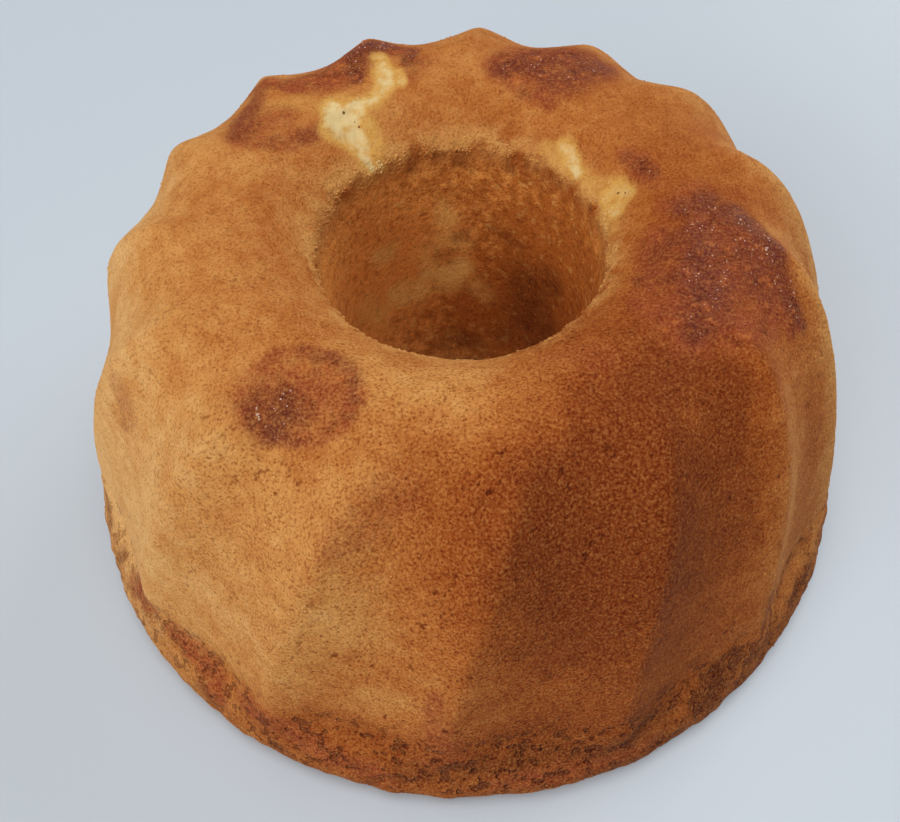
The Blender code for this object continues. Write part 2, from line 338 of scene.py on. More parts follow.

# Strokes that mark the crust.  Each is a strength and its points: azimuth in degrees, distance
# up the profile in millimetres and half width in millimetres
STROKES = {
    # Torn places, pale crumb: back left, then back right of the hole
    "torn": [
        (0.70, [(110.0, 115.5, 2.4), (110.5, 120.0, 3.0), (112.0, 126.0, 3.2), (117.0, 129.5, 2.8),
                (123.0, 130.0, 2.8)]),
        (1.05, [(124.0, 130.5, 3.0), (128.5, 130.0, 5.0), (131.0, 133.0, 4.8), (130.0, 137.5, 3.4)]),
        (0.80, [(130.0, 137.5, 3.4), (129.5, 141.5, 2.6), (130.0, 147.0, 1.6)]),
        (0.24, [(129.0, 129.0, 4.0), (133.0, 125.0, 4.0), (136.0, 120.0, 3.4), (139.0, 118.0, 2.2)]),
        (0.48, [(124.0, 136.0, 3.2), (125.0, 141.0, 3.2), (126.0, 147.0, 2.6)]),
        (0.55, [(106.5, 123.0, 1.6), (107.0, 127.0, 1.8)]),
        (0.58, [(11.5, 142.0, 2.4), (15.0, 138.0, 2.4), (20.0, 139.5, 3.0), (18.5, 143.0, 2.4)]),
        (0.32, [(4.0, 146.0, 3.0), (22.0, 143.0, 3.2), (36.0, 143.5, 3.2), (54.0, 143.0, 2.4)]),
        (0.74, [(37.0, 143.5, 2.0), (42.5, 142.0, 2.8), (47.5, 140.0, 2.4)]),
    ],
    # Places of the dark specks in the torn crumb
    "specks": [
        (1.00, [(128.0, 131.0, 1.0), (128.6, 132.2, 1.0)]),
        (1.00, [(127.0, 134.6, 0.9), (127.2, 135.2, 0.9)]),
        (1.00, [(17.0, 138.2, 1.0), (18.6, 139.2, 1.0)]),
        (1.00, [(14.2, 138.0, 0.8), (14.0, 138.4, 0.8)]),
    ],
    # Red-brown rings and patches
    "halo": [
        # Spot on the front left shoulder
        (0.74, [(-129.0, 108.5, 2.0), (-131.5, 111.0, 1.8), (-133.0, 116.0, 2.0), (-132.5, 122.0, 2.4),
                (-129.0, 126.0, 2.6), (-123.0, 128.0, 2.8), (-117.0, 126.5, 3.0), (-112.5, 122.0, 2.6),
                (-112.0, 116.0, 2.0), (-115.0, 110.5, 2.0), (-120.0, 108.0, 2.4), (-127.0, 107.5, 2.4)]),
        (0.72, [(-127.0, 115.0, 8.0), (-120.5, 119.0, 7.5)]),
        # Patch on the right shoulder
        (1.00, [(-7.0, 121.0, 6.0), (-14.0, 119.0, 8.0), (-23.0, 120.0, 9.5), (-31.0, 117.0, 7.5)]),
        (0.95, [(-10.0, 112.0, 6.5), (-19.0, 105.0, 6.0), (-20.0, 97.0, 4.0)]),
        (0.90, [(-31.0, 121.0, 6.5), (-31.5, 112.0, 6.5), (-26.0, 104.0, 5.5)]),
        (0.72, [(-10.0, 133.0, 4.5), (-20.0, 132.0, 5.0), (-32.0, 129.0, 6.0), (-38.0, 118.0, 6.0)]),
        (0.60, [(2.0, 129.0, 4.0), (6.0, 122.0, 3.0)]),
        # Patch on the far shoulder
        (1.00, [(77.0, 122.0, 5.5), (72.0, 119.0, 8.5), (65.0, 118.0, 10.5), (58.0, 114.0, 8.5)]),
        (0.85, [(74.0, 127.5, 3.4), (67.0, 129.0, 4.0), (61.0, 129.0, 3.6)]),
        (0.80, [(60.0, 128.0, 3.4), (60.0, 132.0, 1.8)]),
        # Ring and patch at the back left
        (0.80, [(138.0, 101.0, 3.0), (134.5, 109.0, 3.4), (134.0, 114.0, 2.4)]),
        (0.66, [(140.0, 109.0, 3.2), (146.0, 111.5, 4.4), (153.0, 116.0, 3.6), (153.5, 122.0, 3.0),
                (149.0, 128.0, 2.4), (141.0, 131.0, 2.2), (137.5, 129.5, 1.6)]),
        (0.66, [(142.0, 121.0, 4.0), (145.0, 119.0, 5.0), (149.0, 119.0, 5.0)]),
        (1.00, [(132.0, 113.0, 4.4), (124.0, 115.0, 7.0), (116.0, 111.0, 7.5), (108.0, 109.0, 6.0),
                (103.0, 112.0, 4.0)]),
        (0.60, [(100.0, 121.0, 3.4), (104.0, 126.0, 2.4)]),
        # Fainter marks on the shoulders
        (0.70, [(12.0, 131.0, 2.4), (19.0, 131.5, 3.4), (27.0, 132.0, 2.6)]),
        (0.45, [(-155.0, 86.0, 2.6), (-151.5, 81.0, 3.4), (-152.0, 76.0, 2.0)]),
        (0.35, [(-100.0, 104.0, 5.0), (-104.0, 97.0, 5.0), (-108.0, 90.0, 4.0)]),
        (0.35, [(-58.0, 128.0, 5.0), (-66.0, 132.0, 3.0)]),
        # Base band
        (0.90, [(-147.0, 21.0, 4.0), (-143.0, 26.0, 4.6), (-140.0, 28.0, 3.0)]),
        (0.85, [(-136.0, 25.0, 3.2), (-130.0, 23.5, 4.8), (-126.5, 17.0, 4.2)]),
        (0.80, [(-121.5, 23.0, 3.6), (-116.0, 22.0, 4.6), (-109.0, 17.5, 4.2), (-101.0, 13.5, 3.8)]),
        (0.55, [(-94.0, 52.0, 2.0), (-94.0, 40.0, 3.6), (-92.5, 26.0, 4.6)]),
        (0.70, [(-86.0, 14.0, 3.4), (-76.0, 15.0, 4.0), (-66.0, 14.0, 3.4)]),
        # Base band on the hidden sides
        (0.60, [(10.0, 20.0, 5.0), (20.0, 17.0, 4.0)]),
        (0.70, [(74.0, 18.0, 4.0), (86.0, 22.0, 5.0)]),
        (0.70, [(146.0, 18.0, 5.0), (158.0, 24.0, 4.0)]),
    ],
    # Darker caramelised parts of the patches
    "caramel": [
        # Spot on the front left shoulder
        (0.46, [(-129.0, 126.0, 1.4), (-122.0, 128.5, 1.6), (-115.5, 126.5, 1.8), (-112.0, 121.0, 1.4)]),
        (0.60, [(-128.8, 110.0, 1.6), (-124.0, 106.4, 2.4), (-119.0, 108.0, 1.6)]),
        (0.38, [(-125.6, 112.6, 4.6), (-121.8, 113.0, 4.6)]),
        # Patch on the right shoulder
        (0.90, [(0.0, 126.5, 3.0), (1.0, 120.5, 3.8), (-2.0, 114.5, 3.8), (-5.0, 111.5, 3.6),
                (-9.0, 109.0, 3.4), (-12.0, 106.0, 3.2), (-15.5, 102.5, 2.8), (-18.0, 97.5, 2.4),
                (-19.0, 92.5, 1.6)]),
        (0.80, [(-8.0, 123.0, 4.0), (-16.0, 121.5, 6.0), (-24.0, 120.0, 7.0), (-31.0, 117.0, 5.0),
                (-38.0, 117.0, 2.6)]),
        (0.30, [(-14.0, 132.0, 4.0), (-25.0, 131.5, 5.0)]),
        (0.62, [(-4.0, 118.0, 6.0), (-10.0, 114.0, 7.0), (-17.0, 109.0, 6.0)]),
        (0.70, [(-25.5, 135.5, 1.3), (-28.0, 134.5, 1.2)]),
        # Far shoulder, back left and near the rim
        (0.80, [(76.0, 123.5, 4.0), (70.0, 119.0, 6.0), (63.0, 119.0, 8.5), (57.5, 113.0, 6.0)]),
        (0.30, [(151.0, 127.0, 2.0), (142.0, 130.5, 2.0)]),
        (0.52, [(139.0, 108.0, 2.8), (146.0, 111.5, 3.6), (152.0, 116.5, 3.0)]),
        (0.90, [(118.0, 121.0, 1.6), (116.0, 116.0, 3.2), (113.0, 110.5, 3.8), (107.0, 108.0, 3.4)]),
        (0.80, [(103.5, 120.0, 1.8), (101.5, 114.0, 2.0)]),
        (0.70, [(15.5, 130.5, 1.6), (21.0, 132.0, 1.8), (26.0, 133.0, 1.4)]),
    ],
    # Darkest and glossiest middles
    "core": [
        (0.95, [(-124.4, 115.2, 2.0), (-123.4, 112.0, 2.6), (-122.8, 108.6, 2.4)]),
        (0.40, [(-125.4, 109.6, 2.6), (-120.6, 113.4, 2.8)]),
        (0.40, [(0.5, 121.0, 2.0), (-5.0, 111.5, 2.4), (-12.0, 106.0, 2.0)]),
        (0.30, [(-19.0, 133.0, 1.6), (-9.0, 128.0, 1.6)]),
        (0.35, [(115.0, 115.0, 1.8), (112.0, 110.5, 1.8)]),
    ],
    # Places with open pores
    "pits": [
        (0.9, [(-133.0, 101.0, 3.0), (-126.0, 97.0, 4.5), (-119.0, 98.0, 3.5)]),
        (0.7, [(-112.0, 70.0, 5.0), (-108.0, 58.0, 5.5)]),
        (0.6, [(-97.0, 34.0, 5.0), (-93.0, 22.0, 6.0)]),
    ],
    # Darkest marks: scorched spots, and painted shadows at the foot, on the hole's wall and in gaps at the
    # rim
    "dark": [
        # Scorched spots on the base band, and a painted shadow along the foot at the front right
        (1.00, [(-93.2, 22.5, 1.2), (-90.8, 21.5, 1.3)]),
        (0.65, [(-88.0, 20.5, 2.2), (-83.0, 20.0, 2.4), (-78.0, 21.5, 3.2), (-72.0, 19.0, 3.0)]),
        (0.80, [(-69.0, 18.5, 2.6), (-65.0, 24.0, 3.6)]),
        (0.45, [(-62.0, 30.0, 2.6), (-63.0, 22.0, 3.0)]),
        (1.10, [(-50.5, 23.0, 3.6), (-53.5, 20.0, 5.4), (-56.5, 17.0, 4.6)]),
        (0.95, [(-47.5, 17.0, 2.4), (-43.5, 17.0, 3.0)]),
        # Painted shadow along the foot at the front right, where the cake meets the floor
        (0.55, [(-72.0, 9.0, 4.0), (-50.0, 9.0, 6.0), (-22.0, 9.0, 6.0)]),
        (0.60, [(-43.0, 39.0, 2.4), (-43.5, 32.0, 3.2)]),
        (0.85, [(-36.0, 17.0, 2.6), (-29.0, 16.0, 3.2)]),
        (0.55, [(-170.0, 22.0, 3.6), (-160.0, 18.0, 3.0)]),
        (0.60, [(6.0, 21.0, 4.4), (16.0, 17.0, 3.4)]),
        (0.75, [(44.0, 28.0, 2.6), (46.0, 18.0, 4.6)]),
        (0.55, [(76.0, 16.0, 3.4), (88.0, 20.0, 4.0)]),
        (0.80, [(117.0, 30.0, 2.4), (120.0, 19.0, 4.6)]),
        (0.60, [(149.0, 17.0, 4.0), (158.0, 23.0, 3.4)]),
        # Shadows on the hole's wall
        (0.50, [(84.0, 223.0, 4.0), (96.0, 219.0, 4.0), (101.0, 222.0, 3.0)]),
        (0.64, [(38.0, 184.0, 5.0), (50.0, 190.0, 8.0), (44.0, 202.0, 11.0), (34.0, 212.0, 11.0)]),
        (0.40, [(60.0, 214.0, 6.0), (44.0, 210.0, 8.0), (28.0, 206.0, 8.0)]),
        (0.40, [(60.0, 178.0, 2.0), (68.0, 174.0, 2.0), (76.0, 172.0, 1.6)]),
        (0.60, [(88.0, 176.5, 1.5), (92.0, 177.5, 1.5)]),
        (0.50, [(96.0, 185.0, 1.8), (102.0, 183.0, 1.8)]),
        # Painted shade in gaps at the rim
        (0.80, [(104.0, 149.0, 0.9), (112.0, 150.5, 1.2)]),
        (0.60, [(84.0, 150.0, 0.8), (92.0, 151.0, 1.0)]),
        (0.60, [(66.0, 151.0, 0.8), (73.0, 150.0, 0.9)]),
    ],
    # Pale places on the hole's wall
    "pale": [
        (1.30, [(106.0, 190.0, 3.4), (98.0, 193.0, 4.4), (91.0, 190.0, 3.0)]),
        (1.15, [(130.0, 192.0, 3.0), (122.0, 195.0, 3.8), (113.0, 196.0, 3.0)]),
        (1.10, [(136.0, 175.0, 2.8), (130.0, 176.0, 3.2)]),
        (0.60, [(108.0, 182.0, 3.0), (99.0, 178.0, 3.4), (90.0, 180.0, 2.6)]),
        (0.90, [(99.0, 167.0, 2.2), (96.0, 172.0, 2.4)]),
        (0.50, [(82.0, 196.0, 2.6), (76.0, 200.0, 2.6)]),
        (0.50, [(140.0, 196.0, 4.0), (152.0, 188.0, 4.0)]),
        (0.55, [(-100.0, 190.0, 4.0), (-80.0, 184.0, 4.0)]),
        (0.55, [(-30.0, 200.0, 4.0), (-20.0, 192.0, 3.0)]),
        (0.50, [(-150.0, 178.0, 4.0), (-140.0, 186.0, 4.0)]),
    ],
}


def smooth_step(x):
    x = np.clip(x, 0.0, 1.0)
    return x * x * (3.0 - 2.0 * x)


def between(value, low, high):
    """0 at low and 1 at high, smooth between."""
    return smooth_step((value - low) / (high - low))


def bell(offset, reach):
    return np.exp(-0.5 * (offset / reach) ** 2)


def ridge_wave(phase):
    """1 on a ridge and -1 in a valley, with crisp ridges and smooth valleys."""
    fall = np.sqrt(np.sin(phase / 2.0) ** 2 + RIDGE_ROUNDING ** 2) - RIDGE_ROUNDING
    return 1.0 - 2.0 * fall / (math.sqrt(1.0 + RIDGE_ROUNDING ** 2) - RIDGE_ROUNDING)


def relax(values, rounds=12):
    out = np.array(values)
    for _ in range(rounds):
        out[1:-1] = (out[:-2] + 2.0 * out[1:-1] + out[2:]) / 4.0
    return out


def profile():
    """Half section from the underside's outer edge, over the crest and down the hole."""
    t = np.linspace(0.0, math.pi / 2.0, 200)
    wall_r = CREST_RADIUS + (WALL_RADIUS - CREST_RADIUS) * np.maximum(np.cos(t), 0.0) ** WALL_BULGE
    wall_z = WALL_START + (HEIGHT - WALL_START) * np.sin(t) ** WALL_RISE
    dip_r = np.linspace(CREST_RADIUS, DIP_END, 30)[1:]
    dip_z = HEIGHT - DIP * (CREST_RADIUS - dip_r) ** 2
    wall = np.column_stack([wall_r, wall_z])
    dip = np.column_stack([dip_r, dip_z])
    roll = [(BASE_RADIUS - inset, level) for inset, level in BASE_ROLL]
    points = np.vstack([roll, wall, dip, LIP, HOLE])
    length = np.concatenate([[0.0], np.cumsum(np.hypot(*np.diff(points, axis=0).T))])
    crest = length[len(BASE_ROLL) + len(wall) - 1]
    lip_end = length[len(points) - len(HOLE) - 1]
    s = np.linspace(0.0, length[-1], 2000)
    r = relax(np.interp(s, length, points[:, 0]))
    z = relax(np.interp(s, length, points[:, 1]))
    return s, r, z, crest, lip_end


# The profile: distances along it, called s below, their radius and level, and where the crest and the lip end
FINE, RADIUS, LEVEL, CREST, LIP_END = profile()
TOTAL = FINE[-1]
SLOPE_R = np.gradient(RADIUS, FINE)
SLOPE_Z = np.gradient(LEVEL, FINE)
SLOPE = np.hypot(SLOPE_R, SLOPE_Z)


def slow_waves(rng, count, low, high):
    """Seeded waves round and along the cake: cycles round, cycles along, phase and share."""
    waves = []
    for _ in range(count):
        cycles = int(rng.integers(low, high))
        along = rng.uniform(10.0, 45.0)
        phase = rng.uniform(0.0, 2.0 * math.pi)
        waves.append((cycles, along, phase, rng.uniform(0.4, 1.0)))
    return waves


def wave_sum(waves, azimuth, s):
    total = 0.0
    for cycles, along, phase, share in waves:
        total = total + share * np.cos(cycles * azimuth + along * s + phase)
    return total / len(waves)


def turn_from(azimuth, degrees):
    """Signed turn in radians from a direction given in degrees, the short way round."""
    return np.angle(np.exp(1j * (azimuth - math.radians(degrees))))


def relief(azimuth, s):
    """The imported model's unevenness, base lumps and torn hollows."""
    rng = np.random.default_rng(SEED)
    even = UNEVEN * wave_sum(slow_waves(rng, 8, 2, 9), azimuth, s)
    lumpy = BASE_LUMPS * wave_sum(slow_waves(rng, 8, 9, 40), azimuth, s)
    edge = smooth_step(s / RELIEF_FADE) * smooth_step((TOTAL - s) / RELIEF_FADE)
    height = even * edge + lumpy * edge * smooth_step((BASE_LUMPS_TOP - s) / RELIEF_FADE)
    for degrees, along, half_width, half_length, depth in HOLLOWS:
        across = turn_from(azimuth, degrees) * HOLLOW_RADIUS / half_width
        lengthwise = (s - along) / half_length
        height = height - depth * np.exp(-(across ** 2 + lengthwise ** 2))
    return height


def swirl(s):
    """How far the flutes are turned at this distance up the profile, in radians."""
    u = np.minimum(s / CREST, 1.0)
    return (TWIST_LINEAR * u + TWIST_SQUARE * u * u) / FLUTES


def flute_phase(azimuth, s):
    """Place within a flute, in radians past its ridge."""
    return FLUTES * (azimuth - FIRST_RIDGE + swirl(s))


def surface(azimuth, s, lift=0.0):
    """Points on the crust at these azimuths and distances along the profile, raised by lift."""
    u = np.minimum(s / CREST, 1.0)
    fade_in = smooth_step((u - FLUTE_START) / FLUTE_FADE_IN)
    fade_out = smooth_step((1.0 - u) / FLUTE_FADE_OUT)
    flutes = FLUTE_DEPTH * fade_in * fade_out * ridge_wave(flute_phase(azimuth, s))
    out = flutes + relief(azimuth, s) + lift
    radius = np.interp(s, FINE, RADIUS) + np.interp(s, FINE, SLOPE_Z / SLOPE) * out
    height = np.interp(s, FINE, LEVEL) - np.interp(s, FINE, SLOPE_R / SLOPE) * out
    return np.stack([radius * np.cos(azimuth), radius * np.sin(azimuth), np.maximum(height, 0.0)], axis=-1)


def lattice_noise(points, cell, seed):
    """Smooth seeded noise between -1 and 1 with lumps about one cell across."""
    table = np.random.default_rng(seed).uniform(-1.0, 1.0, (LATTICE, LATTICE, LATTICE))
    place = points / cell
    low = np.floor(place).astype(int)
    part = smooth_step(place - low)
    total = np.zeros(points.shape[:-1])
    for corner in np.ndindex(2, 2, 2):
        index = (low + corner) % LATTICE
        weight = np.prod(np.where(np.array(corner) == 1, part, 1.0 - part), axis=-1)
        total = total + weight * table[index[..., 0], index[..., 1], index[..., 2]]
    return total


def layered_noise(points, cell, seed, layers=3):
    """Lattice noise with finer and fainter layers on it, brought back to about -1 to 1."""
    total = np.zeros(points.shape[:-1])
    for layer in range(layers):
        total = total + lattice_noise(points, cell / 2.0 ** layer, seed + layer) / 2.0 ** layer
    return total / LAYERED_SPREAD


def stroke_mask(name, points):
    """How far each point lies inside a layer's strokes: 1 inside, half at the half width, 0 well outside."""
    mask = np.zeros(points.shape[:-1])
    softness = SOFTNESS[name]
    wobble = STROKE_WOBBLE * layered_noise(points, *WOBBLE_NOISE)
    for strength, marks in STROKES[name]:
        degrees, along, half_width = np.array(marks).T
        spots = surface(np.radians(degrees), along / 1000.0)
        for k in range(len(spots) - 1):
            run = spots[k + 1] - spots[k]
            share = np.clip((points - spots[k]) @ run / (run @ run), 0.0, 1.0)
            away = np.linalg.norm(points - spots[k] - share[..., None] * run, axis=-1)
            width = (half_width[k] + share * (half_width[k + 1] - half_width[k])) / 1000.0
            ratio = away / width + wobble / np.maximum(width, WOBBLE_LEAST_WIDTH)
            inside = smooth_step((1.0 + softness - ratio) / (2.0 * softness))
            mask = np.maximum(mask, strength * inside)
    return mask


def toast_and_shading_level(azimuth, s):
    """How brown the crust is, from 0 for pale golden to 1 for deep brown: its baking, with painted light and
    shade on the flutes and in the hole.
    """
    level = TOAST + HOLE_TOAST * smooth_step((s - LIP_END) / HOLE_TOAST_FADE)
    for degrees, along, reach_round, reach_up, amount in ZONES:
        turn = np.degrees(turn_from(azimuth, degrees))
        level = level + amount * bell(turn, reach_round) * bell(s * 1000.0 - along, reach_up)
    low, high = PAINTED_FLUTE_LIGHT_WALL
    wall = smooth_step((s - low) / PAINTED_FLUTE_LIGHT_FADE) * smooth_step((high - s) / PAINTED_FLUTE_LIGHT_FADE)
    # Painted light and shade: flanks of the flutes turned to the light are made paler, those turned away
    # browner
    for degrees, reach_round, amount, brightest_turn in PAINTED_FLUTE_LIGHT:
        turn = np.degrees(turn_from(azimuth, degrees))
        lit = np.cos(flute_phase(azimuth, s) - math.radians(brightest_turn))
        level = level - amount * wall * bell(turn, reach_round) * lit
    return level


def base_band(s, smooth):
    """The darker band at the foot with its ragged top, and the dark blotches in it."""
    skirt = smooth_step((SKIRT_TOP + SKIRT_WANDER * layered_noise(smooth, *SKIRT_NOISE) - s) / SKIRT_FADE)
    blotches = between(layered_noise(smooth, *BLOTCH_NOISE), *BLOTCH_LEVELS)
    return skirt, BLOTCH_SHARE * skirt * blotches


def pitted_band(front, s):
    """Where the base band is pitted, most of all in front."""
    low, high = PITTED_BAND
    low_fade, high_fade = PITTED_FADES
    band = smooth_step((high - s) / high_fade) * smooth_step((s - low) / low_fade)
    return band * (PITTED_LEAST + (1.0 - PITTED_LEAST) * bell(front, PITTED_REACH))


def rim_edge(s, smooth):
    """The pale crumbly edge of the hole's rim, broken up by noise."""
    broken = between(layered_noise(smooth, *EDGE_NOISE), *EDGE_LEVELS)
    return bell(s - (LIP_END - EDGE_INSET), EDGE_REACH) * broken


def rim_notch_shade(s, smooth):
    """Painted shade in the gaps between the crumbs of the rim, on some stretches only."""
    gaps = between(lattice_noise(smooth, *NOTCH_NOISE), *NOTCH_LEVELS)
    stretches = between(layered_noise(smooth, *STRETCH_NOISE), *STRETCH_LEVELS)
    return gaps * bell(s - (LIP_END + NOTCH_DROP), NOTCH_REACH) * stretches


def crust_layers(azimuth, s, smooth):
    """Named values, mostly between 0 and 1, that colour and roughen the crust."""
    layers = {name: stroke_mask(name, smooth) for name in STROKES}
    front = np.degrees(turn_from(azimuth, FRONT))
    skirt, blotches = base_band(s, smooth)
    layers["skirt"] = skirt
    layers["dark"] = np.maximum(layers["dark"], blotches)
    layers["pitted"] = pitted_band(front, s)
    layers["pits"] = np.maximum(layers["pits"], SKIRT_PITS * skirt)
    layers["notch_shade"] = rim_notch_shade(s, smooth)
    layers["edge"] = rim_edge(s, smooth)
    layers["toast_and_shading"] = toast_and_shading_level(azimuth, s)
    layers["inner"] = smooth_step((s - LIP_END) / INNER_FADE)
    layers["coarse"] = COARSE_LEAST + (1.0 - COARSE_LEAST) * bell(front, COARSE_REACH)
    return layers


def lumps(points, depth, cell, seed):
    return depth * layered_noise(points, cell, seed)


def grains(points, depth, cell, seed):
    return depth * lattice_noise(points, cell, seed)


def crust_lift(s, smooth, layers):
    """Fine relief of the crust: soft lumps, torn crumb, base crags and the ragged rim of the hole."""
    lift = lumps(smooth, *SOFT_LUMPS) + lumps(smooth, *CRUST_LUMPS)
    lift = lift + layers["torn"] * lumps(smooth, *TORN_LUMPS)
    crags = lumps(smooth, *BASE_CRAGS) + grains(smooth, *FINE_CRAGS)
    lift = lift + layers["skirt"] * crags - layers["dark"] * DARK_SINK
    lift = lift + layers["pits"] * grains(smooth, *PIT_GRAINS)
    lift = lift + layers["inner"] * lumps(smooth, *HOLE_LUMPS)
    lift = lift + bell(s - LIP_END, RIM_REACH) * lumps(smooth, *RIM_LUMPS)
    return lift * smooth_step(s / FOOT_FADE) * smooth_step((TOTAL - s) / HOLE_END_FADE)


def set_attribute(mesh, name, values):
    layer = mesh.attributes.new(name, "FLOAT", "POINT")
    layer.data.foreach_set("value", np.ascontiguousarray(values, dtype=np.float32).ravel())


def ring_faces(count):
    """Four-cornered faces between closed rings of columns, with the last ring joined to the first."""
    i, j = np.meshgrid(np.arange(count), np.arange(COLUMNS), indexing="ij")
    above = (i + 1) % count
    beside = (j + 1) % COLUMNS
    corners = [i * COLUMNS + j, i * COLUMNS + beside, above * COLUMNS + beside, above * COLUMNS + j]
    return np.stack(corners, axis=-1).reshape(-1, 4)


def crust_mesh():
    """The fine crust in rings: up the wall, over the crest, down the hole and back across the underside."""
    turn = 2.0 * math.pi * np.arange(COLUMNS) / COLUMNS
    outer = np.linspace(0.0, LIP_END, OUTER_ROWS)
    rows = np.concatenate([outer, np.linspace(LIP_END, TOTAL, HOLE_ROWS)[1:]])
    s = np.repeat(rows[:, None], COLUMNS, axis=1)
    azimuth = FIRST_RIDGE + turn[None, :] - swirl(s)
    smooth = surface(azimuth, s)
    layers = crust_layers(azimuth, s, smooth)
    points = surface(azimuth, s, crust_lift(s, smooth, layers))
    across = points[0] - points[-1]
    under = [points[-1] + across * k / (UNDER_ROWS + 1) for k in range(1, UNDER_ROWS + 1)]
    rings = np.concatenate([points, np.array(under)])
    mesh = bpy.data.meshes.new("cake_crust")
    mesh.from_pydata(rings.reshape(-1, 3).tolist(), [], ring_faces(len(rings)).tolist())
    for name, values in layers.items():
        hidden = UNDERSIDE_TOAST if name == "toast_and_shading" else 0.0
        set_attribute(mesh, name, np.concatenate([values, np.full((UNDER_ROWS, COLUMNS), hidden)]))
    mesh.shade_smooth()
    return mesh


def icosahedron():
    """Corners and faces of a unit icosahedron."""
    mesh = bmesh.new()
    bmesh.ops.create_icosphere(mesh, subdivisions=1, radius=1.0)
    corners = np.array([vertex.co[:] for vertex in mesh.verts])
    faces = np.array([[vertex.index for vertex in face.verts] for face in mesh.faces])
    mesh.free()
    return corners, faces


def random_turns(rng, count):
    """Evenly spread random rotation matrices, from random unit quaternions."""
    w, x, y, z = rng.normal(size=(count, 4)).T
    size = np.sqrt(w * w + x * x + y * y + z * z)
    w, x, y, z = w / size, x / size, y / size, z / size
    rows = [
        [1 - 2 * (y * y + z * z), 2 * (x * y - z * w), 2 * (x * z + y * w)],
        [2 * (x * y + z * w), 1 - 2 * (x * x + z * z), 2 * (y * z - x * w)],
        [2 * (x * z - y * w), 2 * (y * z + x * w), 1 - 2 * (x * x + y * y)],
    ]
    return np.array(rows).transpose(2, 0, 1)


def scattered_mesh(name, rng, azimuth, s, sizes, sink, layer_names):
    """One joined mesh of small uneven lumps, each set a little into the crust."""
    corners, faces = icosahedron()
    count = len(azimuth)
    smooth = surface(azimuth, s)
    layers = crust_layers(azimuth, s, smooth)
    centre = surface(azimuth, s, crust_lift(s, smooth, layers) - sink * sizes)
    stretch = rng.uniform(*LUMP_STRETCH, (count, 1, 3))
    jitter = rng.normal(0.0, LUMP_JITTER, (count, len(corners), 3))
    shapes = (corners[None] + jitter) * stretch * sizes[:, None, None]
    shapes = np.einsum("nij,nkj->nki", random_turns(rng, count), shapes) + centre[:, None, :]
    shapes[..., 2] = np.maximum(shapes[..., 2], 0.0)
    mesh = bpy.data.meshes.new(name)
    index = faces[None] + len(corners) * np.arange(count)[:, None, None]
    mesh.from_pydata(shapes.reshape(-1, 3).tolist(), [], index.reshape(-1, 3).tolist())
    for layer in layer_names:
        set_attribute(mesh, layer, np.repeat(layers[layer], len(corners)))
    set_attribute(mesh, "shade", np.repeat(rng.uniform(0.0, 1.0, count), len(corners)))
    mesh.shade_smooth()
    return mesh


def along_rim(rng, count):
    """Random places in a narrow band along the rim of the hole."""
    azimuth = rng.uniform(-math.pi, math.pi, count)
    return azimuth, LIP_END - RIM_INSET + rng.normal(0.0, RIM_SPREAD, count)


def spread_over(rng, count, low, high):
    """Random places between two distances up the profile, even over the area."""
    s = rng.uniform(low, high, count * AREA_TRIES)
    keep = rng.uniform(0.0, BASE_RADIUS, count * AREA_TRIES) < np.interp(s, FINE, RADIUS)
    s = s[keep][:count]
    return rng.uniform(-math.pi, math.pi, len(s)), s


def places_on(rng, layer, count, low, high, least):
    """Random places between two distances up the profile where a layer is stronger than least."""
    azimuth, s = spread_over(rng, count * LAYER_TRIES, low, high)
    chosen = stroke_mask(layer, surface(azimuth, s)) > least
    return azimuth[chosen][:count], s[chosen][:count]


def join_groups(rng, groups, power):
    """Places of all groups together, and sizes within each group's limits; power favours small ones."""
    azimuth = np.concatenate([place[0] for place, _ in groups])
    s = np.concatenate([place[1] for place, _ in groups])
    sizes = []
    for place, (low, high) in groups:
        sizes.append(low + (high - low) * rng.uniform(0.0, 1.0, len(place[0])) ** power)
    return azimuth, s, np.concatenate(sizes)


def crumb_mesh():
    """Crumbs at the rim, round the base, in the hole and over the crust, and specks in the torn places."""
    rng = np.random.default_rng(SEED + 7)
    inside = (LIP_END + HOLE_PLACES_TOP, TOTAL - HOLE_PLACES_FOOT)
    groups = [
        (along_rim(rng, RIM_CRUMBS), RIM_CRUMB_SIZE),
        (places_on(rng, "specks", DARK_SPECKS, *SPECK_PLACES), SPECK_SIZE),
        (spread_over(rng, BASE_CRUMBS, *BASE_PLACES), BASE_CRUMB_SIZE),
        (spread_over(rng, HOLE_CRUMBS, *inside), CRUST_CRUMB_SIZE),
        (spread_over(rng, CRUST_CRUMBS, WALL_PLACES_START, LIP_END), CRUST_CRUMB_SIZE),
    ]
    azimuth, s, sizes = join_groups(rng, groups, 1.0)
    return scattered_mesh("crumbs", rng, azimuth, s, sizes, CRUMB_SINK, CRUMB_LAYERS)


def bead_mesh():
    """Tiny hardened syrup beads on the caramelised spots; they glint from their gloss, and their pale colour
    is a painted glint.
    """
    rng = np.random.default_rng(SEED + 8)
    groups = [
        (places_on(rng, "caramel", CARAMEL_BEADS, *CARAMEL_PLACES), BEAD_SIZE),
        (places_on(rng, "core", CORE_BEADS, *CORE_PLACES), CORE_BEAD_SIZE),
    ]
    azimuth, s, sizes = join_groups(rng, groups, 2.0)
    return scattered_mesh("syrup_glint_beads", rng, azimuth, s, sizes, BEAD_SINK, ())


